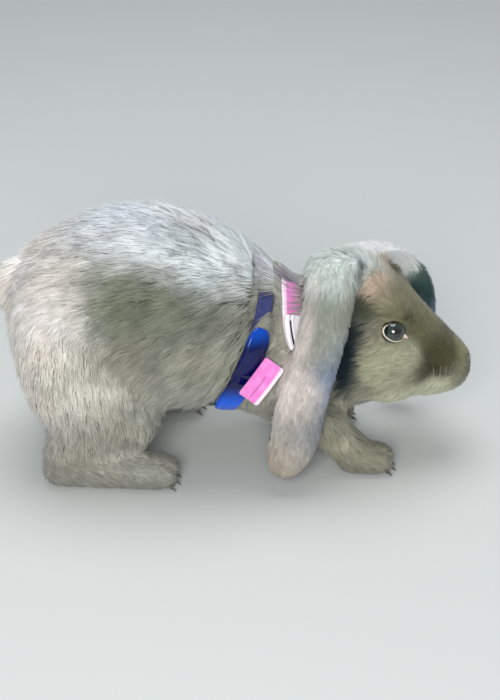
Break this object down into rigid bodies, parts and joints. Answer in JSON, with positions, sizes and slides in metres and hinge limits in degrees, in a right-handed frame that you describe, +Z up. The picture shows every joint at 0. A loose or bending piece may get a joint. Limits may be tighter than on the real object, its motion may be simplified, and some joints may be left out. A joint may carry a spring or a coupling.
{
  "type": "rabbit",
  "caption": "Life-size still model of a blue-grey lop-eared rabbit on all fours, head low, wearing a pink and navy harness with a blue side buckle.",
  "frame": {"origin": "on the floor under the middle of the rabbit's box", "axes": "+X towards the nose, +Z up, the rabbit's right side at -Y"},
  "size_m": [0.3332, 0.1384, 0.1855],
  "materials": {
    "coat": "soft blue-grey fur",
    "ear_coat": "short grey fur",
    "eye": "wet gloss",
    "pink_webbing": "woven webbing",
    "navy_webbing": "woven webbing",
    "blue_plastic": "glossy moulded",
    "white_plastic": "satin moulded"
  },
  "bodies": {
    "root": {"trunk": "coat", "neck": "coat", "head": "coat", "tail": "coat", "ear_right": "ear_coat", "ear_left": "ear_coat", "eye_right": "eye", "eye_left": "eye", "foreleg_right": "coat", "foreleg_left": "coat", "forepaw_right": "coat", "forepaw_left": "coat", "hind_leg_right": "coat", "hind_leg_left": "coat", "hind_foot_right": "coat", "hind_foot_left": "coat", "neck_strap": "pink_webbing", "strap_slider": "white_plastic", "strap_tab": "pink_webbing", "girth_strap": "navy_webbing", "girth_buckle": "blue_plastic"}
  },
  "joints": []
}
